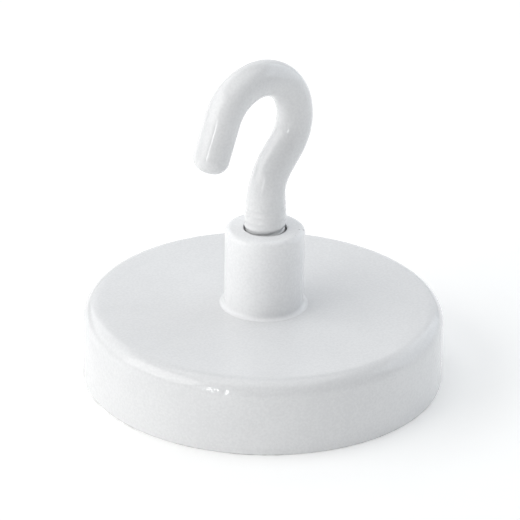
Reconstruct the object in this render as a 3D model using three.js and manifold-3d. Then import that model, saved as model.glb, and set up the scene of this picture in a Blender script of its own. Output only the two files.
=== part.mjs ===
// Hook pot magnet: a ferrite ring bonded into a pressed steel pot, with a threaded bush riveted
// through the pot and a bent wire hook screwed into the bush. Millimetres, +Z up. The origin is the
// centre of the magnet face; the hook is bent in the XZ plane, with its mouth towards -X.
import * as THREE from "three";
import { mergeVertices } from "three/addons/utils/BufferGeometryUtils.js";
import Module from "manifold-3d";

// Pot: one pressed cup of steel sheet, open side down.
const POT_DIAMETER = 36;
const POT_HEIGHT = 7.7;
const SHEET = 1.5;
const SHOULDER_RADIUS = 1.7;
const INNER_BEND_RADIUS = 0.4;
const RIM_CHAMFER = 0.2;

// Magnet and adhesive.
const MAGNET_RECESS = 0.15; // the magnet stands this far inside the rim
const MAGNET_CHAMFER = 0.3;
const GLUE_WIDTH = 1; // between the magnet and the wall of the pot
const GLUE_FILM = 0.25; // between the magnet and the plate of the pot
const GLUE_SETBACK = 0.9; // from the rim up to the edge of the adhesive
const GLUE_SLUMP = 0.35; // dip of the adhesive between magnet and wall

// Thread: ISO metric, right-hand.
const THREAD_DIAMETER = 4;
const THREAD_PITCH = 0.7;
const THREAD_DEPTH = 0.6134 * THREAD_PITCH;
const THREAD_FLAT = THREAD_PITCH / 8;
const THREAD_FLANK = THREE.MathUtils.degToRad(30);
const THREAD_ROOTING = 0.06; // how far the ridge of the thread reaches below its root
const THREAD_RUNOUT = 0.6; // turns over which the thread fades at each end
const THREAD_SIDES = 12; // straight steps per turn

// Bush: a turned stem on the pot, with a spigot through the plate that is riveted over below it.
const BUSH_DIAMETER = 8;
const BUSH_HEIGHT = 8.3; // above the pot
const BUSH_EDGE_RADIUS = 0.6;
const BUSH_FOOT_RADIUS = 0.45; // fillet where the bush meets the pot
const BORE_MOUTH = 0.12; // chamfer of the bore
const BUSH_GROOVE_DEPTH = 0.3;
const SPIGOT_WALL = 0.6;
const RIVET_WIDTH = 0.6;
const RIVET_HEIGHT = 0.5;

// Hook: bent wire with the thread rolled on its lower end.
const WIRE_DIAMETER = 3.66;
const STUD_END_CHAMFER = 0.45;
const STUD_ENGAGEMENT = 7.5; // length of the stud inside the bush
const EXPOSED_THREAD = 2.1; // above the bush
const SHANK_RISE = 3.15; // straight wire and thread above the bush
const OFFSET_BEND_RADIUS = 5.5;
const OFFSET_BEND_ANGLE = THREE.MathUtils.degToRad(40.6);
const LOOP_RADIUS = 4.93; // of the centreline
const LOOP_ANGLE = THREE.MathUtils.degToRad(200.5);
const LOOP_CENTRE_X = -1.31; // from the axis of the thread
const TIP_STRAIGHT = 5.15;
const TIP_EDGE_RADIUS = 1.45;

// Clearances.
const PRESS_GAP = 0.05; // between round faces that touch
const THREAD_CLEARANCE = 0.15; // so that the hook turns in its bush
const RIVET_CLEARANCE = 0.9; // between the riveted rim and the bore of the magnet

// Smoothness.
const POT_SIDES = 72;
const BUSH_SIDES = 36;
const WIRE_SIDES = 20;
const BEND_STEP = THREE.MathUtils.degToRad(10);
const EDGE_STEPS = 4;

// Sizes that follow from those above.
const potRadius = POT_DIAMETER / 2;
const potInnerRadius = potRadius - SHEET;
const plateBottom = POT_HEIGHT - SHEET;
const threadRadius = THREAD_DIAMETER / 2;
const coreRadius = threadRadius - THREAD_DEPTH;
const boreRadius = threadRadius + THREAD_CLEARANCE;
const bushRadius = BUSH_DIAMETER / 2;
const bushTop = POT_HEIGHT + BUSH_HEIGHT;
const spigotRadius = boreRadius + BUSH_GROOVE_DEPTH + SPIGOT_WALL;
const rivetRadius = spigotRadius + RIVET_WIDTH;
const rivetBottom = plateBottom - RIVET_HEIGHT;
const magnetRadius = potInnerRadius - GLUE_WIDTH;
const magnetBoreRadius = rivetRadius + RIVET_CLEARANCE;
const magnetTop = plateBottom - GLUE_FILM;
const wireRadius = WIRE_DIAMETER / 2;
const studEnd = bushTop - STUD_ENGAGEMENT;
const threadTop = bushTop + EXPOSED_THREAD;

const wasm = await Module();
wasm.setup();

// Quarter arc of a profile: points [radius, height] around a centre, from one angle to another.
function arc(radius, height, size, from, to) {
  const points = [];
  for (let step = 0; step <= EDGE_STEPS; step += 1) {
    const angle = from + ((to - from) * step) / EDGE_STEPS;
    points.push([radius + size * Math.cos(angle), height + size * Math.sin(angle)]);
  }
  return points;
}

// Closed ring profile: its first corner is repeated at the end.
function closed(profile) {
  return [...profile, profile[0]];
}

// Profile of [radius, height] points turned about the Z axis.
function turned(profile, sides) {
  const points = profile.map(([radius, height]) => new THREE.Vector2(radius, height));
  const geometry = new THREE.LatheGeometry(points, sides);
  geometry.rotateX(Math.PI / 2);
  return welded(geometry);
}

// The same surface with shared vertices and without the collapsed triangles on the axis.
function welded(geometry) {
  geometry.deleteAttribute("normal");
  geometry.deleteAttribute("uv");
  const merged = mergeVertices(geometry, 1e-5);
  const corners = merged.index.array;
  const kept = [];
  for (let i = 0; i < corners.length; i += 3) {
    const [a, b, c] = corners.slice(i, i + 3);
    if (a !== b && b !== c && c !== a) {
      kept.push(a, b, c);
    }
  }
  merged.setIndex(kept);
  return merged;
}

function toSolid(geometry) {
  const mesh = new wasm.Mesh({
    numProp: 3,
    vertProperties: new Float32Array(geometry.attributes.position.array),
    triVerts: new Uint32Array(geometry.index.array),
  });
  return new wasm.Manifold(mesh);
}

function toGeometry(solid) {
  const mesh = solid.getMesh();
  const geometry = new THREE.BufferGeometry();
  geometry.setAttribute("position", new THREE.BufferAttribute(mesh.vertProperties, 3));
  geometry.setIndex(new THREE.BufferAttribute(mesh.triVerts, 1));
  return geometry;
}

// Right-hand thread: a ridge wound down from a height, as deep as its crest stands out of its root.
function thread(rootRadius, depth, top, bottom) {
  const crest = THREAD_FLAT / 2;
  const sunk = rootRadius - THREAD_ROOTING;
  const base = crest + (depth + THREAD_ROOTING) * Math.tan(THREAD_FLANK);
  const shape = new THREE.Shape([
    new THREE.Vector2(sunk, -base),
    new THREE.Vector2(rootRadius + depth, -crest),
    new THREE.Vector2(rootRadius + depth, crest),
    new THREE.Vector2(sunk, base),
  ]);
  const steps = Math.floor(((top - bottom) / THREAD_PITCH) * THREAD_SIDES);
  const turns = steps / THREAD_SIDES;
  const geometry = new THREE.ExtrudeGeometry(shape, { depth: turns, steps, bevelEnabled: false });
  const corners = geometry.attributes.position;
  for (let i = 0; i < corners.count; i += 1) {
    const turn = corners.getZ(i);
    const angle = -2 * Math.PI * turn;
    const fade = Math.min(1, turn / THREAD_RUNOUT, (turns - turn) / THREAD_RUNOUT);
    const radius = corners.getX(i) - (1 - fade) * depth;
    const height = top - THREAD_PITCH * turn + corners.getY(i);
    corners.setXYZ(i, radius * Math.cos(angle), radius * Math.sin(angle), height);
  }
  return toSolid(welded(geometry));
}

function steelPot() {
  const holeRadius = spigotRadius + PRESS_GAP;
  const bend = INNER_BEND_RADIUS;
  const shoulder = SHOULDER_RADIUS;
  return turned(
    closed([
      [holeRadius, plateBottom],
      ...arc(potInnerRadius - bend, plateBottom - bend, bend, Math.PI / 2, 0),
      [potInnerRadius, RIM_CHAMFER],
      [potInnerRadius + RIM_CHAMFER, 0],
      [potRadius - RIM_CHAMFER, 0],
      [potRadius, RIM_CHAMFER],
      ...arc(potRadius - shoulder, POT_HEIGHT - shoulder, shoulder, 0, Math.PI / 2),
      [holeRadius, POT_HEIGHT],
    ]),
    POT_SIDES,
  );
}

function ferriteRing() {
  const chamfer = MAGNET_CHAMFER;
  return turned(
    closed([
      [magnetBoreRadius, magnetTop - chamfer],
      [magnetBoreRadius, MAGNET_RECESS + chamfer],
      [magnetBoreRadius + chamfer, MAGNET_RECESS],
      [magnetRadius - chamfer, MAGNET_RECESS],
      [magnetRadius, MAGNET_RECESS + chamfer],
      [magnetRadius, magnetTop - chamfer],
      [magnetRadius - chamfer, magnetTop],
      [magnetBoreRadius + chamfer, magnetTop],
    ]),
    POT_SIDES,
  );
}

// One cured piece: the film over the magnet and the bead squeezed down between magnet and wall.
function magnetAdhesive() {
  const inner = magnetRadius + PRESS_GAP;
  const outer = potInnerRadius - PRESS_GAP;
  const bend = INNER_BEND_RADIUS;
  return turned(
    closed([
      [magnetBoreRadius + MAGNET_CHAMFER, magnetTop],
      [inner, magnetTop],
      [inner, GLUE_SETBACK],
      [(inner + outer) / 2, GLUE_SETBACK + GLUE_SLUMP],
      [outer, GLUE_SETBACK],
      ...arc(outer - bend, plateBottom - bend, bend, 0, Math.PI / 2),
      [magnetBoreRadius + MAGNET_CHAMFER, plateBottom],
    ]),
    POT_SIDES,
  );
}

function threadedBush() {
  const foot = BUSH_FOOT_RADIUS;
  const edge = BUSH_EDGE_RADIUS;
  const blank = turned(
    [
      [0, rivetBottom],
      [rivetRadius, rivetBottom],
      [rivetRadius, plateBottom],
      [spigotRadius, plateBottom],
      [spigotRadius, POT_HEIGHT],
      ...arc(bushRadius + foot, POT_HEIGHT + foot, foot, -Math.PI / 2, -Math.PI),
      ...arc(bushRadius - edge, bushTop - edge, edge, 0, Math.PI / 2),
      [0, bushTop],
    ],
    BUSH_SIDES,
  );
  const past = boreRadius + 2 * BORE_MOUTH; // the cutter's mouths open beyond both ends
  const bore = turned(
    [
      [0, rivetBottom - BORE_MOUTH],
      [past, rivetBottom - BORE_MOUTH],
      [boreRadius, rivetBottom + BORE_MOUTH],
      [boreRadius, bushTop - BORE_MOUTH],
      [past, bushTop + BORE_MOUTH],
      [0, bushTop + BORE_MOUTH],
    ],
    THREAD_SIDES,
  );
  const groove = thread(boreRadius, BUSH_GROOVE_DEPTH, bushTop, rivetBottom);
  return toGeometry(toSolid(blank).subtract(toSolid(bore).add(groove)));
}

// Stretches of the wire from the end of the stud to the tip: the length of each, and its turn
// towards +X in radians.
function wireStretches() {
  const offset = OFFSET_BEND_RADIUS * (1 - Math.cos(OFFSET_BEND_ANGLE));
  const lean = LOOP_CENTRE_X - offset + LOOP_RADIUS * Math.cos(OFFSET_BEND_ANGLE);
  return [
    { length: bushTop + SHANK_RISE - studEnd, turn: 0 },
    { length: OFFSET_BEND_RADIUS * OFFSET_BEND_ANGLE, turn: OFFSET_BEND_ANGLE },
    { length: lean / Math.sin(OFFSET_BEND_ANGLE), turn: 0 },
    { length: LOOP_RADIUS * LOOP_ANGLE, turn: -LOOP_ANGLE },
    { length: TIP_STRAIGHT, turn: 0 },
  ];
}

// Centre of the wire at a distance from the end of the stud, and its direction from +Z to +X.
function alongWire(stretches, distance) {
  const at = { x: 0, z: studEnd, angle: 0 };
  let left = distance;
  for (const { length, turn } of stretches) {
    const part = Math.min(left, length);
    const next = at.angle + (turn * part) / length;
    if (turn === 0) {
      at.x += part * Math.sin(next);
      at.z += part * Math.cos(next);
    } else {
      const radius = length / turn;
      at.x += radius * (Math.cos(at.angle) - Math.cos(next));
      at.z += radius * (Math.sin(next) - Math.sin(at.angle));
    }
    at.angle = next;
    left -= part;
  }
  return at;
}

// The wire above its thread as a straight profile of [radius, distance], with a ring at every step
// of a bend.
function wireProfile(stretches) {
  const threadEnd = threadTop - studEnd;
  const profile = [
    [0, threadEnd - THREAD_DEPTH],
    [coreRadius, threadEnd - THREAD_DEPTH],
    [wireRadius, threadEnd],
  ];
  let start = 0;
  for (const { length, turn } of stretches) {
    const steps = Math.ceil(Math.abs(turn) / BEND_STEP);
    for (let step = 0; step < steps; step += 1) {
      profile.push([wireRadius, start + (length * step) / steps]);
    }
    start += length;
    if (turn !== 0) {
      profile.push([wireRadius, start]);
    }
  }
  const edge = TIP_EDGE_RADIUS;
  return [...profile, ...arc(wireRadius - edge, start - edge, edge, 0, Math.PI / 2), [0, start]];
}

function hook() {
  const stretches = wireStretches();
  const wire = turned(wireProfile(stretches), WIRE_SIDES);
  const corners = wire.attributes.position;
  for (let i = 0; i < corners.count; i += 1) {
    const { x, z, angle } = alongWire(stretches, corners.getZ(i));
    const across = corners.getX(i);
    corners.setXYZ(i, x + across * Math.cos(angle), corners.getY(i), z - across * Math.sin(angle));
  }
  const core = turned(
    [
      [0, studEnd],
      [coreRadius - STUD_END_CHAMFER, studEnd],
      [coreRadius, studEnd + STUD_END_CHAMFER],
      [coreRadius, threadTop],
      [0, threadTop],
    ],
    THREAD_SIDES,
  );
  const ridge = thread(coreRadius, THREAD_DEPTH, threadTop, studEnd + STUD_END_CHAMFER);
  return toGeometry(toSolid(core).add(ridge).add(toSolid(wire)));
}

const whitePaint = { color: 0xe9ebef, roughness: 0.28, metalness: 0 };
const ferrite = { color: 0x34353a, roughness: 0.62, metalness: 0.1 };
const epoxy = { color: 0xb9a98a, roughness: 0.35, metalness: 0 };

function part(name, geometry, look) {
  const mesh = new THREE.Mesh(geometry, new THREE.MeshStandardMaterial(look));
  mesh.name = name;
  return mesh;
}

const group = new THREE.Group();
group.add(part("steel_pot", steelPot(), whitePaint));
group.add(part("threaded_bush", threadedBush(), whitePaint));
group.add(part("ferrite_ring", ferriteRing(), ferrite));
group.add(part("magnet_adhesive", magnetAdhesive(), epoxy));
group.add(part("hook", hook(), whitePaint));

export default group;
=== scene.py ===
import math

import bmesh
import bpy
from mathutils import Matrix, Vector, noise


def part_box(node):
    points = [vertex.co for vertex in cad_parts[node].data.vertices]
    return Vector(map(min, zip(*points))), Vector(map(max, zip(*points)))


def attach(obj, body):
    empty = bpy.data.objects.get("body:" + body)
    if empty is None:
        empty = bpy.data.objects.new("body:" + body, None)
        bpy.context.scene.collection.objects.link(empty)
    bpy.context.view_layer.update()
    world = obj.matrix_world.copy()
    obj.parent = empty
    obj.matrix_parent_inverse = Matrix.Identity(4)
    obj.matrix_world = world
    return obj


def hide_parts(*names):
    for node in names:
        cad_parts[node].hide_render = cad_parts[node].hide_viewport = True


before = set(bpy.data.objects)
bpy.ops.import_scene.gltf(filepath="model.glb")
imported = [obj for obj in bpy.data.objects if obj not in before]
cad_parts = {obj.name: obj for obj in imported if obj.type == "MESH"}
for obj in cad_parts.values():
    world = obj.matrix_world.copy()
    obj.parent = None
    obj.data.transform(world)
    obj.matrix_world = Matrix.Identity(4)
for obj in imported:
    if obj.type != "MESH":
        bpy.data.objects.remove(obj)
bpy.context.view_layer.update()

MM = 0.001


# ---------------------------------------------------------------------------------- sizes, in mm

def cad_size(node):
    """Outer radius, lowest and highest point of a turned CAD node."""
    low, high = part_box(node)
    return high.x / MM, low.z / MM, high.z / MM


POT_RADIUS, POT_BOTTOM, POT_TOP = cad_size("steel_pot")
MAGNET_RADIUS, MAGNET_BOTTOM, MAGNET_TOP = cad_size("ferrite_ring")
GLUE_RADIUS, GLUE_BOTTOM, GLUE_TOP = cad_size("magnet_adhesive")
FOOT_EDGE, RIVET_BOTTOM, BUSH_TOP = cad_size("threaded_bush")
STUD_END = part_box("hook")[0].z / MM
PRESS_GAP = 0.05  # between round faces that touch

# Pot
SHEET = 1.5
PLATE_BOTTOM = POT_TOP - SHEET
SHOULDER_RADIUS = 1.7
INNER_BEND_RADIUS = 0.4
RIM_RADIUS = 0.14
HOLE_EDGE_RADIUS = 0.05

# Bush
FOOT_RADIUS = 0.45
FOOT_LIP = 0.02  # height and width of the step at the edge of the foot
FOOT_LIP_LOWER_RADIUS = 0.007
FOOT_LIP_UPPER_RADIUS = 0.01
BUSH_RADIUS = FOOT_EDGE - FOOT_RADIUS
BUSH_EDGE_RADIUS = 0.6
SPIGOT_RADIUS = 3.05
SPIGOT_EDGE_RADIUS = 0.03
RIVET_RADIUS = 3.65
RIVET_EDGE_RADIUS = 0.22
BORE_RADIUS = 2.15
BORE_EDGE_RADIUS = 0.12
BORE_GROOVE = 0.3
BORE_OPEN_END = 0.5  # over which the groove sets in at each end

# Magnet and adhesive
MAGNET_BORE_RADIUS = 4.55
MAGNET_LOWER_EDGE_RADIUS = 0.3
MAGNET_UPPER_EDGE_RADIUS = 0.25
FILM_SETBACK = 0.3  # of the adhesive behind the magnet, from the magnet's bore
FILM_RADIUS = MAGNET_BORE_RADIUS + FILM_SETBACK
FILM_EDGE_RADIUS = 0.1
FILM_BEND_RADIUS = 0.02
BEAD_EDGE_RADIUS = 0.05
BEAD_DIP_WIDTH = 0.45  # from the magnet to the highest point of the bead's underside
BEAD_DIP_HEIGHT = 0.4
BEAD_DIP_RADIUS = 0.25

# Thread, right-hand
THREAD_PITCH = 0.7
THREAD_RADIUS = 1.96
THREAD_DEPTH = 0.43
THREAD_CREST = 1 / 8  # share of the pitch
THREAD_ROOT = 1 / 4  # share of the pitch
THREAD_START = 0.12  # turn of the crest at height 0

# Hook
PAINT_INSET = 0.015  # keeps the round wire inside the CAD box
WIRE_RADIUS = 1.83 - PAINT_INSET
SHANK_TOP = 19.15
OFFSET_BEND_RADIUS = 5.5
OFFSET_BEND_ANGLE = math.radians(40.6)
LOOP_RADIUS = 4.93
LOOP_ANGLE = math.radians(200.5)
LOOP_CENTRE_X = -1.31
TIP_STRAIGHT = 5.15
TIP_EDGE_RADIUS = 1.45
STUD_CHAMFER = 0.45

# Camera, with angles in degrees
CAMERA_AZIMUTH = -42.3
CAMERA_ELEVATION = 27.02
CAMERA_DISTANCE = 400
CAMERA_AIM = (-0.3, 0.34, 12.34)
CAMERA_ROLL = -1.14
CAMERA_LENS = 274.8
CAMERA_SENSOR = 36
CAMERA_NEAR = 10
CAMERA_FAR = 20000


# ---------------------------------------------------------------------------------------- meshes

def filleted(corners, spacing, arc_step):
    """Closed outline through [radius, height, fillet] corners, with points on its straights too."""
    fewest_arc_steps = 3
    outline = []
    for i, (x, z, fillet) in enumerate(corners):
        here = Vector((x, z))
        back = (Vector(corners[i - 1][:2]) - here).normalized()
        ahead = (Vector(corners[(i + 1) % len(corners)][:2]) - here).normalized()
        half = back.angle(ahead) / 2
        centre = here + (back + ahead).normalized() * (fillet / math.sin(half))
        first = here + back * (fillet / math.tan(half)) - centre
        last = here + ahead * (fillet / math.tan(half)) - centre
        swing = math.pi - 2 * half
        steps = max(fewest_arc_steps, round(swing / arc_step))
        for step in range(steps + 1):
            part = step / steps
            blend = first * math.sin((1 - part) * swing) + last * math.sin(part * swing)
            outline.append(centre + blend / math.sin(swing))
    points = []
    for i, here in enumerate(outline):
        ahead = outline[(i + 1) % len(outline)]
        steps = max(1, math.ceil((ahead - here).length / spacing))
        points += [here.lerp(ahead, step / steps) for step in range(steps)]
    return points


def lofted(rings, close_loop):
    """Closed bmesh through rings of points: joined end to start, or capped by a fan at each end."""
    mesh = bmesh.new()
    rows = [[mesh.verts.new(point) for point in ring] for ring in rings]
    pairs = list(zip(rows, rows[1:]))
    if close_loop:
        pairs.append((rows[-1], rows[0]))
    for row, following in pairs:
        for j in range(len(row)):
            mesh.faces.new((row[j - 1], row[j], following[j], following[j - 1]))
    if not close_loop:
        for row in (rows[0], rows[-1]):
            middle = sum((vert.co for vert in row), Vector()) / len(row)
            pole = mesh.verts.new(middle)
            for j in range(len(row)):
                mesh.faces.new((row[j - 1], row[j], pole))
    return mesh


def turned(corners, sides, spacing, arc_step=math.radians(9), radius_at=None):
    """Closed bmesh of filleted corners turned about Z. radius_at may change a radius by place."""
    rings = []
    for x, z in filleted(corners, spacing, arc_step):
        ring = []
        for j in range(sides):
            angle = 2 * math.pi * j / sides
            radius = radius_at(x, z, angle) if radius_at else x
            ring.append((radius * math.cos(angle), radius * math.sin(angle), z))
        rings.append(ring)
    return lofted(rings, close_loop=True)


def displace(mesh, amount):
    """Moves every vertex along its normal by amount(place), in mm."""
    bmesh.ops.recalc_face_normals(mesh, faces=mesh.faces)
    mesh.normal_update()
    moves = [(vert, vert.normal * amount(vert.co)) for vert in mesh.verts]
    for vert, move in moves:
        vert.co += move


def finished(mesh, name, materials, slot_at=None):
    """Smooth object in metres from a bmesh in mm. slot_at picks a face's material by its middle."""
    bmesh.ops.recalc_face_normals(mesh, faces=mesh.faces)
    for face in mesh.faces:
        face.smooth = True
        if slot_at is not None:
            face.material_index = slot_at(face.calc_center_median())
    data = bpy.data.meshes.new(name)
    mesh.to_mesh(data)
    mesh.free()
    data.transform(Matrix.Scale(MM, 4))
    for material in materials:
        data.materials.append(material)
    piece = bpy.data.objects.new(name, data)
    bpy.context.scene.collection.objects.link(piece)
    return piece


def unevenness(place, waves):
    """Noise at or below 0, summed over waves of (width, depth)."""
    return sum(depth * (noise.noise(place / width) - 1) / 2 for width, depth in waves)


def smooth_step(low, high, value):
    """0 below low, 1 above high, and a smooth rise between them."""
    part = min(1, max(0, (value - low) / (high - low)))
    return part * part * (3 - 2 * part)


def between(table, value):
    """Linear look-up in a list of (place, result)."""
    for (low, first), (high, second) in zip(table, table[1:]):
        if value <= high:
            return first + (second - first) * max(0, value - low) / (high - low)
    return table[-1][1]


def from_axis(place):
    return Vector(place[:2]).length


def thread_height(z, angle):
    """0 at the root and 1 at the crest of the right-hand thread."""
    phase = (z / THREAD_PITCH - angle / (2 * math.pi) + THREAD_START) % 1
    from_crest = min(phase, 1 - phase) - THREAD_CREST / 2
    flank = (1 - THREAD_CREST - THREAD_ROOT) / 2
    return 1 - min(1, max(0, from_crest / flank))


# ------------------------------------------------------------------------------------- materials

# Colours, linear RGB
WHITE = (0.782, 0.785, 0.79)
WHITE_THIN = (0.738, 0.741, 0.747)
PINHOLE = (0.3, 0.3, 0.305)
BARE_STEEL = (0.36, 0.35, 0.34)
ZINC = (0.42, 0.42, 0.41)
ZINC_DIRTY = (0.2, 0.195, 0.185)
FERRITE = (0.058, 0.058, 0.062)
FERRITE_DARK = (0.032, 0.033, 0.036)
FERRITE_LINE = (0.1, 0.1, 0.105)
# Painted shade in the ferrite's pits
FERRITE_PIT_SHADE = (0.018, 0.018, 0.02)
EPOXY = (0.42, 0.31, 0.16)
EPOXY_DARK = (0.3, 0.2, 0.09)
EPOXY_BUBBLE = (0.55, 0.46, 0.3)
FLOOR = (0.978, 0.976, 0.968)
FLOOR_DARK = (0.968, 0.966, 0.958)
SKY = (0.935, 0.965, 1)


class Nodes:
    """Node tree of one material, with short calls for the few nodes used here. Sizes are in mm."""

    MIX_COLOURS = (6, 7)  # inputs of a Mix node that take its two colours
    MIX_RESULT = 2  # its output that gives the mixed colour

    def __init__(self, name, **values):
        """values are numbers for the shader's inputs, with spaces in their names written as _."""
        self.material = bpy.data.materials.new(name)
        self.material.use_nodes = True
        self.tree = self.material.node_tree
        self.shader = self.tree.nodes["Principled BSDF"]
        self.place = self.add("ShaderNodeTexCoord").outputs["Object"]
        for key, value in values.items():
            self.shader.inputs[key.replace("_", " ")].default_value = value

    def add(self, kind, **settings):
        node = self.tree.nodes.new(kind)
        for key, value in settings.items():
            setattr(node, key, value)
        return node

    def join(self, output, socket):
        self.tree.links.new(output, socket)

    def finish(self, colour, roughness, normal=None):
        """The material, with its colour, roughness and normal joined to the shader."""
        self.join(colour, self.shader.inputs["Base Color"])
        self.join(roughness, self.shader.inputs["Roughness"])
        if normal is not None:
            self.join(normal, self.shader.inputs["Normal"])
        return self.material

    def noise(self, size, detail=3, roughness=0.5, place=None):
        """Noise with features about size wide."""
        node = self.add("ShaderNodeTexNoise")
        self.join(place or self.place, node.inputs["Vector"])
        node.inputs["Scale"].default_value = 1 / (size * MM)
        node.inputs["Detail"].default_value = detail
        node.inputs["Roughness"].default_value = roughness
        return node.outputs["Fac"]

    def cells(self, size):
        """Distance to the nearest of many points about size apart, as a share of size."""
        node = self.add("ShaderNodeTexVoronoi", feature="F1")
        self.join(self.place, node.inputs["Vector"])
        node.inputs["Scale"].default_value = 1 / (size * MM)
        return node.outputs["Distance"]

    def ranged(self, value, low, high, to_low=0, to_high=1):
        """Value from low to high turned into one from to_low to to_high, and held there."""
        node = self.add("ShaderNodeMapRange")
        self.join(value, node.inputs["Value"])
        for key, number in (
            ("From Min", low), ("From Max", high), ("To Min", to_low), ("To Max", to_high)
        ):
            node.inputs[key].default_value = number
        return node.outputs["Result"]

    def math(self, operation, first, second):
        node = self.add("ShaderNodeMath", operation=operation)
        for socket, value in zip(node.inputs, (first, second)):
            if isinstance(value, (int, float)):
                socket.default_value = value
            else:
                self.join(value, socket)
        return node.outputs["Value"]

    def scaled(self, value, by):
        return self.math("MULTIPLY", value, by)

    def mixed(self, share, first, second):
        """Colour between two; each is a colour or an output."""
        node = self.add("ShaderNodeMix", data_type="RGBA")
        self.join(share, node.inputs["Factor"])
        for i, value in zip(self.MIX_COLOURS, (first, second)):
            if isinstance(value, tuple):
                node.inputs[i].default_value = (*value, 1)
            else:
                self.join(value, node.inputs[i])
        return node.outputs[self.MIX_RESULT]

    def height(self):
        node = self.add("ShaderNodeSeparateXYZ")
        self.join(self.place, node.inputs["Vector"])
        return node.outputs["Z"]

    def distance_to(self, point):
        node = self.add("ShaderNodeVectorMath", operation="DISTANCE")
        self.join(self.place, node.inputs[0])
        node.inputs[1].default_value = [length * MM for length in point]
        return node.outputs["Value"]

    def bump(self, height, depth, below=None):
        """Normal of a 0 to 1 height that is depth deep, on top of the bump below."""
        node = self.add("ShaderNodeBump")
        self.join(height, node.inputs["Height"])
        node.inputs["Strength"].default_value = 1
        node.inputs["Distance"].default_value = depth * MM
        if below is not None:
            self.join(below, node.inputs["Normal"])
        return node.outputs["Normal"]


def white_paint(name, peel_depth, dullness, tone=1, spots=(), worn_below=None, calm_above=None):
    """Gloss white enamel with orange peel and pinholes.

    tone brightens its colour; above 1 it is painted light, for a part in the same enamel that
    catches more light than the rest. spots are (centre, radius) of larger pinholes. Below
    worn_below the steel shows through, and above calm_above most of the orange peel has flowed out.
    """
    dullness_spread = 0.04
    worn_dullness = 0.2
    spot_core, spot_strength = 0.6, 0.6
    calm_band, calm_share = 0.25, 0.2

    nodes = Nodes(name, IOR=1.5)
    # tone scales both whites; above 1 this is painted light
    thin, full = (tuple(tone * part for part in white) for white in (WHITE_THIN, WHITE))
    fine = nodes.noise(size=0.25, detail=2)
    mottle = nodes.math("ADD", nodes.scaled(nodes.noise(size=5), by=0.5), fine)
    colour = nodes.mixed(nodes.ranged(mottle, low=0.6, high=0.9), thin, full)
    grain = nodes.ranged(nodes.noise(size=0.22, detail=1), low=0.72, high=0.8, to_high=0.1)
    colour = nodes.mixed(grain, colour, PINHOLE)
    for centre, radius in spots:
        edge, core = radius * MM, spot_core * radius * MM
        dark = nodes.ranged(nodes.distance_to(centre), edge, core, to_high=spot_strength)
        colour = nodes.mixed(dark, colour, PINHOLE)
    dullest = dullness + dullness_spread
    roughness = nodes.ranged(
        nodes.noise(size=2.5), low=0.3, high=0.7, to_low=dullness, to_high=dullest
    )
    if worn_below is not None:
        low = nodes.ranged(nodes.height(), low=worn_below * MM, high=0)
        patch = nodes.ranged(nodes.noise(size=1.6, detail=5, roughness=0.65), low=0.5, high=0.58)
        worn = nodes.math("MULTIPLY", low, patch)
        colour = nodes.mixed(worn, colour, BARE_STEEL)
        nodes.join(worn, nodes.shader.inputs["Metallic"])
        roughness = nodes.math("ADD", roughness, nodes.scaled(worn, by=worn_dullness))
    waves = nodes.scaled(nodes.noise(size=1.3, detail=1), by=0.6)
    peel = nodes.math("ADD", waves, nodes.noise(size=0.5, detail=2))
    if calm_above is not None:
        calm_from, calm_to = (calm_above - calm_band) * MM, calm_above * MM
        share = nodes.ranged(nodes.height(), calm_from, calm_to, to_low=1, to_high=calm_share)
        peel = nodes.math("MULTIPLY", peel, share)
    return nodes.finish(colour, roughness, nodes.bump(peel, depth=peel_depth))


def bare_thread(name):
    """Dull zinc-plated steel, with dirty patches strewn at random."""
    nodes = Nodes(name, Metallic=0.85)
    dirt = nodes.ranged(nodes.noise(size=0.5, detail=4), low=0.4, high=0.62)
    colour = nodes.mixed(dirt, ZINC_DIRTY, ZINC)
    roughness = nodes.ranged(nodes.noise(size=0.4), low=0.3, high=0.7, to_low=0.35, to_high=0.6)
    return nodes.finish(colour, roughness, nodes.bump(nodes.noise(size=0.15), depth=0.006))


def hard_ferrite(name):
    """Pressed and sintered ferrite: charcoal, pitted, with the lines of the grinding wheel. The
    pits are painted darker, as painted shade in them.
    """
    line_squeeze = 0.04  # along X, so that the lines come out 25 times as long as wide
    noise_turn = math.radians(24)  # of the noise behind the lines, which stay along X

    nodes = Nodes(name)
    stretch = nodes.add("ShaderNodeMapping")
    nodes.join(nodes.place, stretch.inputs["Vector"])
    stretch.inputs["Rotation"].default_value = (0, 0, noise_turn)
    stretch.inputs["Scale"].default_value = (line_squeeze, 1, 1)
    lines = nodes.noise(size=0.16, roughness=0.6, place=stretch.outputs["Vector"])
    mottle = nodes.ranged(nodes.noise(size=1.8, detail=6, roughness=0.6), low=0.35, high=0.65)
    pits = nodes.ranged(nodes.cells(size=0.7), low=0.06, high=0.16, to_low=1, to_high=0)
    colour = nodes.mixed(mottle, FERRITE_DARK, FERRITE)
    bright = nodes.ranged(lines, low=0.45, high=0.7, to_high=0.45)
    # The pits are painted darker: painted shade in them, on top of their bump
    colour = nodes.mixed(pits, nodes.mixed(bright, colour, FERRITE_LINE), FERRITE_PIT_SHADE)
    roughness = nodes.ranged(lines, low=0.3, high=0.7, to_low=0.42, to_high=0.62)
    grooves = nodes.bump(lines, depth=0.008)
    pitted = nodes.bump(nodes.math("SUBTRACT", 1, pits), depth=0.03, below=grooves)
    return nodes.finish(colour, roughness, pitted)


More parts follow.
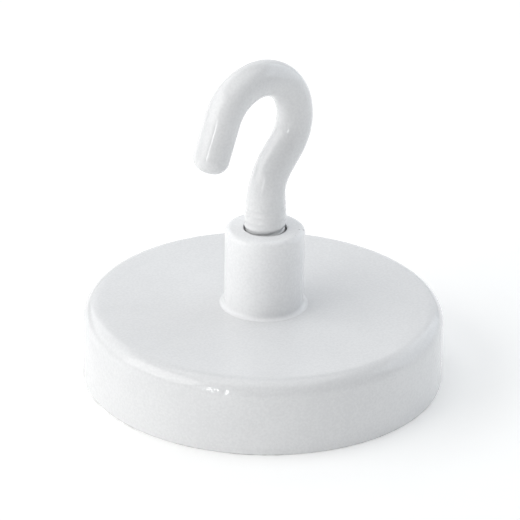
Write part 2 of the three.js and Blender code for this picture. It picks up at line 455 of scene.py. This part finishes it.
def cured_epoxy(name):
    """Amber epoxy with dust in it and small bubbles under its skin."""
    nodes = Nodes(
        name,
        IOR=1.55,
        Subsurface_Weight=0.25,
        Subsurface_Radius=(0.0008, 0.0005, 0.0003),
        Subsurface_Scale=1,
    )
    cloud = nodes.ranged(nodes.noise(size=2.2, detail=4), low=0.35, high=0.65)
    bubbles = nodes.ranged(nodes.cells(size=0.55), low=0.05, high=0.22, to_low=1, to_high=0)
    colour = nodes.mixed(bubbles, nodes.mixed(cloud, EPOXY_DARK, EPOXY), EPOXY_BUBBLE)
    roughness = nodes.ranged(cloud, low=0, high=1, to_low=0.14, to_high=0.3)
    waves = nodes.bump(nodes.noise(size=1.2), depth=0.05)
    return nodes.finish(colour, roughness, nodes.bump(bubbles, depth=0.02, below=waves))


def pale_floor(name):
    """Matte, almost white board that glows a little, for the pale surroundings."""
    nodes = Nodes(
        name, Specular_IOR_Level=0.1, Emission_Color=(1, 1, 1, 1), Emission_Strength=0.1
    )
    tone = nodes.ranged(nodes.noise(size=60, detail=2), low=0.3, high=0.7)
    roughness = nodes.ranged(tone, low=0, high=1, to_low=0.7, to_high=0.8)
    return nodes.finish(nodes.mixed(tone, FLOOR_DARK, FLOOR), roughness)


# ---------------------------------------------------------------------------------------- pieces

# Unevenness of the painted surfaces, as waves of (width, depth).
POT_WAVES = ((6, 0.003),)
POT_SIDE_WAVES = ((2.2, 0.022), (0.8, 0.006))
BUSH_WAVES = ((2.5, 0.02),)
HOOK_WAVES = ((2.2, 0.045), (0.8, 0.01))

# Where the waves set in: (none yet, in full).
POT_WAVES_ABOVE = (0, 0.6)
POT_WAVES_OUTSIDE = (5, 7)
POT_SIDE_WAVES_BELOW = (POT_TOP - SHOULDER_RADIUS, POT_TOP - 0.2)  # (in full, none)
BUSH_WAVES_ABOVE = (8.4, 9)
BUSH_WAVES_OUTSIDE = (3.2, 3.8)
HOOK_WAVES_ABOVE = (16.5, 18)

# Small knocks in the paint of the shoulder: angle about Z, height, width and depth.
SHOULDER_KNOCKS = (
    (-149.6, 6.72, 0.3, 0.05),
    (-148.5, 6.36, 0.3, 0.05),
    (-147.2, 6.7, 0.28, 0.05),
    (-146.2, 6.34, 0.3, 0.06),
    (-144.6, 6.2, 0.26, 0.07),
    (-143.8, 6.62, 0.28, 0.08),
)

# Larger pinholes in the paint round the top of the bush: centre and radius.
BUSH_PINHOLES = (
    ((2.22, -2.57, 15.9), 0.16),
    ((2.67, -2.67, 15.8), 0.14),
    ((0.98, -3.34, 15.9), 0.12),
)


def knock_depth(place):
    """How far the shoulder's knocks move the skin at a place on the pot: 0 or less."""
    depth = 0
    for angle, height, width, deepest in SHOULDER_KNOCKS:
        turn = math.radians(angle)
        centre = Vector((POT_RADIUS * math.cos(turn), POT_RADIUS * math.sin(turn), height))
        off = (place - centre).length / width
        depth -= deepest * math.exp(-off * off)
    return depth


def make_pot():
    inner = POT_RADIUS - SHEET
    hole = SPIGOT_RADIUS + PRESS_GAP
    mesh = turned(
        [
            (hole, PLATE_BOTTOM, HOLE_EDGE_RADIUS),
            (inner, PLATE_BOTTOM, INNER_BEND_RADIUS),
            (inner, POT_BOTTOM, RIM_RADIUS),
            (POT_RADIUS, POT_BOTTOM, RIM_RADIUS),
            (POT_RADIUS, POT_TOP, SHOULDER_RADIUS),
            (hole, POT_TOP, HOLE_EDGE_RADIUS),
        ],
        sides=600,
        spacing=0.6,
        arc_step=math.radians(6),
    )

    def skin(place):
        clear_of_rim = smooth_step(*POT_WAVES_ABOVE, place.z)
        clear_of_bush = smooth_step(*POT_WAVES_OUTSIDE, from_axis(place))
        on_side = 1 - smooth_step(*POT_SIDE_WAVES_BELOW, place.z)
        waves = unevenness(place, POT_WAVES) + unevenness(place, POT_SIDE_WAVES) * on_side
        return waves * clear_of_rim * clear_of_bush + knock_depth(place)

    displace(mesh, skin)
    paint = white_paint(
        "pot_paint", peel_depth=0.022, dullness=0.11, worn_below=0.12, calm_above=POT_TOP - 0.03
    )
    return finished(mesh, "painted_pot", [paint])


def make_bush():
    lip_top = POT_TOP + FOOT_LIP
    bore_margin = 0.01  # tells the wall of the bore from the rounding at its ends

    def bore_thread(radius, z, angle):
        if radius > BORE_RADIUS + bore_margin:
            return radius
        open_end = smooth_step(0, BORE_OPEN_END, min(BUSH_TOP - z, z - RIVET_BOTTOM))
        return radius + BORE_GROOVE * open_end * thread_height(z, angle)

    mesh = turned(
        [
            (BORE_RADIUS, RIVET_BOTTOM, BORE_EDGE_RADIUS),
            (RIVET_RADIUS, RIVET_BOTTOM, RIVET_EDGE_RADIUS),
            (RIVET_RADIUS, PLATE_BOTTOM, SPIGOT_EDGE_RADIUS),
            (SPIGOT_RADIUS, PLATE_BOTTOM, SPIGOT_EDGE_RADIUS),
            (SPIGOT_RADIUS, POT_TOP, SPIGOT_EDGE_RADIUS),
            (FOOT_EDGE, POT_TOP, FOOT_LIP_LOWER_RADIUS),
            (FOOT_EDGE - FOOT_LIP, lip_top, FOOT_LIP_UPPER_RADIUS),
            (BUSH_RADIUS, lip_top, FOOT_RADIUS - 2 * FOOT_LIP),
            (BUSH_RADIUS, BUSH_TOP, BUSH_EDGE_RADIUS),
            (BORE_RADIUS, BUSH_TOP, BORE_EDGE_RADIUS),
        ],
        sides=160,
        spacing=0.05,
        arc_step=math.radians(7),
        radius_at=bore_thread,
    )

    def skin(place):
        outside = smooth_step(*BUSH_WAVES_OUTSIDE, from_axis(place))
        return unevenness(place, BUSH_WAVES) * (outside * smooth_step(*BUSH_WAVES_ABOVE, place.z))

    displace(mesh, skin)

    def in_bore(centre):
        deep = centre.z < BUSH_TOP - BORE_EDGE_RADIUS
        return int(deep and from_axis(centre) < BORE_RADIUS + 2 * bore_margin)

    # tone=1.14 is painted light: the bush wears the same enamel as the pot, made brighter to stand
    # in for the light it catches off the pot's top
    paint = white_paint(
        "bush_paint", peel_depth=0.012, dullness=0.11, tone=1.14, spots=BUSH_PINHOLES
    )
    return finished(mesh, "painted_bush", [paint, bare_thread("bore_steel")], in_bore)


def make_magnet():
    mesh = turned(
        [
            (MAGNET_BORE_RADIUS, MAGNET_BOTTOM, MAGNET_LOWER_EDGE_RADIUS),
            (MAGNET_RADIUS, MAGNET_BOTTOM, MAGNET_LOWER_EDGE_RADIUS),
            (MAGNET_RADIUS, MAGNET_TOP, MAGNET_UPPER_EDGE_RADIUS),
            (MAGNET_BORE_RADIUS, MAGNET_TOP, MAGNET_UPPER_EDGE_RADIUS),
        ],
        sides=360,
        spacing=0.3,
    )
    chip_size, chip_depth = 0.9, 0.22
    chipped_edge = (0.1, 0.6)  # distances from the bore or the rim: chips in full, none
    chipped_heights = (MAGNET_BOTTOM + 0.1, MAGNET_BOTTOM + 0.9)
    chip_noise = (0.25, 0.5)

    def chipped(place):
        radius = from_axis(place)
        edge = min(MAGNET_RADIUS - radius, radius - MAGNET_BORE_RADIUS)
        near_edge = 1 - smooth_step(*chipped_edge, edge)
        low = 1 - smooth_step(*chipped_heights, place.z)
        chip = smooth_step(*chip_noise, noise.noise(place / chip_size))
        return -chip_depth * chip * near_edge * low

    displace(mesh, chipped)
    return finished(mesh, "ground_magnet", [hard_ferrite("ferrite")])


def make_adhesive():
    inner = MAGNET_RADIUS + PRESS_GAP
    mesh = turned(
        [
            (FILM_RADIUS, MAGNET_TOP, FILM_EDGE_RADIUS),
            (inner, MAGNET_TOP, FILM_BEND_RADIUS),
            (inner, GLUE_BOTTOM, BEAD_EDGE_RADIUS),
            (inner + BEAD_DIP_WIDTH, GLUE_BOTTOM + BEAD_DIP_HEIGHT, BEAD_DIP_RADIUS),
            (GLUE_RADIUS, GLUE_BOTTOM, BEAD_EDGE_RADIUS),
            (GLUE_RADIUS, GLUE_TOP, INNER_BEND_RADIUS),
            (FILM_RADIUS, GLUE_TOP, FILM_EDGE_RADIUS),
        ],
        sides=300,
        spacing=0.15,
    )
    wave_width, wave_height = 3.5, 0.22
    ripple_width, ripple_share = 1.1, 0.5
    mean_lift = 1.2  # in wave heights
    bead_only = (GLUE_BOTTOM + 0.4, GLUE_BOTTOM + 1.4)
    for vert in mesh.verts:
        low = 1 - smooth_step(*bead_only, vert.co.z)
        ripple = ripple_share * noise.noise(vert.co / ripple_width)
        flow = noise.noise(vert.co / wave_width) + ripple
        vert.co.z += low * wave_height * (mean_lift + flow)
    return finished(mesh, "squeezed_adhesive", [cured_epoxy("adhesive")])


def wire_stretches():
    """Length and turn of each stretch of the wire, from the end of the stud to the tip."""
    offset = OFFSET_BEND_RADIUS * (1 - math.cos(OFFSET_BEND_ANGLE))
    lean = LOOP_CENTRE_X - offset + LOOP_RADIUS * math.cos(OFFSET_BEND_ANGLE)
    return (
        (SHANK_TOP - STUD_END, 0),
        (OFFSET_BEND_RADIUS * OFFSET_BEND_ANGLE, OFFSET_BEND_ANGLE),
        (lean / math.sin(OFFSET_BEND_ANGLE), 0),
        (LOOP_RADIUS * LOOP_ANGLE, -LOOP_ANGLE),
        (TIP_STRAIGHT, 0),
    )


def along_wire(distance):
    """Centre of the wire and its turn from +Z towards +X, at a distance from the stud's end."""
    x, z, angle, left = 0, STUD_END, 0, distance
    for length, turn in wire_stretches():
        part = min(left, length)
        following = angle + turn * part / length
        if turn:
            radius = length / turn
            x += radius * (math.cos(angle) - math.cos(following))
            z += radius * (math.sin(following) - math.sin(angle))
        else:
            x += part * math.sin(angle)
            z += part * math.cos(angle)
        angle = following
        left -= part
    return x, z, angle


# The paint fills the thread above the bush. Its lower edge runs a little askew round the stud, and
# the two tables go by the height above that edge: the radius over the paint, and the share of the
# thread's depth that still shows.
PAINT_EDGE = 15.76
PAINT_EDGE_TILT = 0.34
PAINT_EDGE_HIGH_SIDE = math.radians(-75)
PAINTED_RADIUS = (
    (-0.35, THREAD_RADIUS),
    (0.1, THREAD_RADIUS),
    (0.35, 2.03),
    (0.7, 2.09),
    (1.2, 2.1),
    (2.3, 2.05),
    (3.3, 1.98),
    (4.4, 1.87),
    (5.4, WIRE_RADIUS),
)
THREAD_SHOWING = ((0, 1), (0.16, 0.13), (1.4, 0.11), (2, 0.12), (2.4, 0.17), (2.9, 0.06), (3.6, 0))


def wire_radius(height, angle):
    edge = PAINT_EDGE + PAINT_EDGE_TILT * math.cos(angle - PAINT_EDGE_HIGH_SIDE)
    groove = THREAD_DEPTH * between(THREAD_SHOWING, height - edge)
    return between(PAINTED_RADIUS, height - edge) - groove * (1 - thread_height(height, angle))


def wire_stations():
    """Distance along the wire of each ring, and how far it is drawn in at the wire's ends."""
    length = sum(stretch for stretch, turn in wire_stretches())
    rings_per_pitch = 18
    fine = THREAD_PITCH / rings_per_pitch
    fine_top = 20  # height up to which the rings are fine, above the last trace of the thread
    fine_rings = round((fine_top - STUD_END) / fine)
    coarse = 0.2
    tip_steps = 12
    stud_face = (1.2, 0.5)  # how far the rings on the flat end of the stud are drawn in
    tip_face = 0.3  # how far inside the rounding the last ring on the tip's flat end lies

    stations = [(0.0, drawn_in) for drawn_in in stud_face]
    stations += [(i * fine, max(0, STUD_CHAMFER - i * fine)) for i in range(fine_rings)]
    smooth_from = stations[-1][0] + fine
    smooth_to = length - TIP_EDGE_RADIUS
    steps = math.ceil((smooth_to - smooth_from) / coarse)
    stations += [(smooth_from + (smooth_to - smooth_from) * i / steps, 0) for i in range(steps)]
    for step in range(tip_steps + 1):
        angle = math.pi / 2 * step / tip_steps
        drawn_in = TIP_EDGE_RADIUS * (1 - math.cos(angle))
        stations.append((smooth_to + TIP_EDGE_RADIUS * math.sin(angle), drawn_in))
    stations.append((length, TIP_EDGE_RADIUS + tip_face))
    return stations


def make_hook():
    sides = 96
    smallest_radius = 0.15
    bare_reach, bare_top = 2.2, 15.2  # from the axis and in height, where the stud has no paint

    rings = []
    for distance, drawn_in in wire_stations():
        x, z, lean = along_wire(distance)
        ring = []
        for j in range(sides):
            angle = 2 * math.pi * j / sides
            radius = max(smallest_radius, wire_radius(STUD_END + distance, angle) - drawn_in)
            across = radius * math.cos(angle)
            side = radius * math.sin(angle)
            ring.append((x + across * math.cos(lean), side, z - across * math.sin(lean)))
        rings.append(ring)
    mesh = lofted(rings, close_loop=False)

    def skin(place):
        return smooth_step(*HOOK_WAVES_ABOVE, place.z) * unevenness(place, HOOK_WAVES)

    displace(mesh, skin)

    def bare(centre):
        return int(abs(centre.x) < bare_reach and centre.z < bare_top)

    paint = white_paint("hook_paint", peel_depth=0.006, dullness=0.13)
    return finished(mesh, "painted_hook", [paint, bare_thread("stud_steel")], bare)


def make_floor():
    """Board that the magnet stands on. Its size is half its width."""
    mesh = bmesh.new()
    bmesh.ops.create_grid(mesh, x_segments=8, y_segments=8, size=4000)
    return finished(mesh, "floor", [pale_floor("floor_paint")])


# -------------------------------------------------------------------------------- camera, lights

# Area lights: name, azimuth from the camera's and elevation in degrees, distance from the middle of
# the object, width, height, radiance and colour.
SOFTBOXES = (
    ("key_left", -70, 30, 420, 390, 320, 2.35, (1, 0.993, 0.975)),
    ("back_left", -126, 29, 430, 400, 260, 1.05, (0.985, 0.992, 1)),
    ("back", 180, 22, 440, 540, 320, 0.52, (0.97, 0.985, 1)),
    ("back_right", 118, 23, 420, 480, 340, 1.25, (0.9, 0.95, 1)),
    ("top", 0, 86, 420, 400, 400, 1.08, (1, 1, 1)),
    ("glint", -30.5, 9, 420, 32, 90, 13, (1, 1, 1)),
)
LIT_HEIGHT = 12  # that the lights are aimed at
SKY_STRENGTH = 0.31


def direction(azimuth, elevation):
    """Unit vector from the object towards a place. Azimuth 0 is -Y, and 90 is +X."""
    turn, rise = math.radians(azimuth), math.radians(elevation)
    level = math.cos(rise)
    return Vector((math.sin(turn) * level, -math.cos(turn) * level, math.sin(rise)))


def placed(name, data, place, target, roll=0):
    """Object of a camera or light at a place, turned towards its target."""
    thing = bpy.data.objects.new(name, data)
    bpy.context.scene.collection.objects.link(thing)
    facing = (target - place).to_track_quat("-Z", "Y").to_matrix().to_4x4()
    thing.matrix_world = Matrix.Translation(place) @ facing @ Matrix.Rotation(roll, 4, "Z")
    return thing


def make_camera():
    data = bpy.data.cameras.new("camera")
    data.sensor_width = CAMERA_SENSOR
    data.lens = CAMERA_LENS
    data.clip_start = CAMERA_NEAR * MM
    data.clip_end = CAMERA_FAR * MM
    place = direction(CAMERA_AZIMUTH, CAMERA_ELEVATION) * CAMERA_DISTANCE * MM
    roll = math.radians(-CAMERA_ROLL)
    bpy.context.scene.camera = placed("camera", data, place, Vector(CAMERA_AIM) * MM, roll)


def make_softbox(name, side, elevation, distance, width, height, radiance, colour):
    data = bpy.data.lights.new(name, "AREA")
    data.shape = "RECTANGLE"
    data.size = width * MM
    data.size_y = height * MM
    data.energy = radiance * math.pi * data.size * data.size_y
    data.color = colour
    target = Vector((0, 0, LIT_HEIGHT * MM))
    place = target + direction(CAMERA_AZIMUTH + side, elevation) * distance * MM
    placed(name, data, place, target)


def make_sky():
    world = bpy.data.worlds.new("studio")
    bpy.context.scene.world = world
    world.use_nodes = True
    background = world.node_tree.nodes["Background"]
    background.inputs["Color"].default_value = (*SKY, 1)
    background.inputs["Strength"].default_value = SKY_STRENGTH


view = bpy.context.scene.view_settings
view.view_transform = "Standard"
view.look = "None"

make_camera()
for softbox in SOFTBOXES:
    make_softbox(*softbox)
make_sky()
for make, body, node, slot in (
    (make_pot, "base", "steel_pot", "pot_paint"),
    (make_bush, "base", "threaded_bush", "bush_paint"),
    (make_magnet, "base", "ferrite_ring", "ferrite"),
    (make_adhesive, "base", "magnet_adhesive", "adhesive"),
    (make_hook, "hook", "hook", "hook_paint"),
):
    piece = make()
    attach(piece, body)
    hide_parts(node)
floor = make_floor()
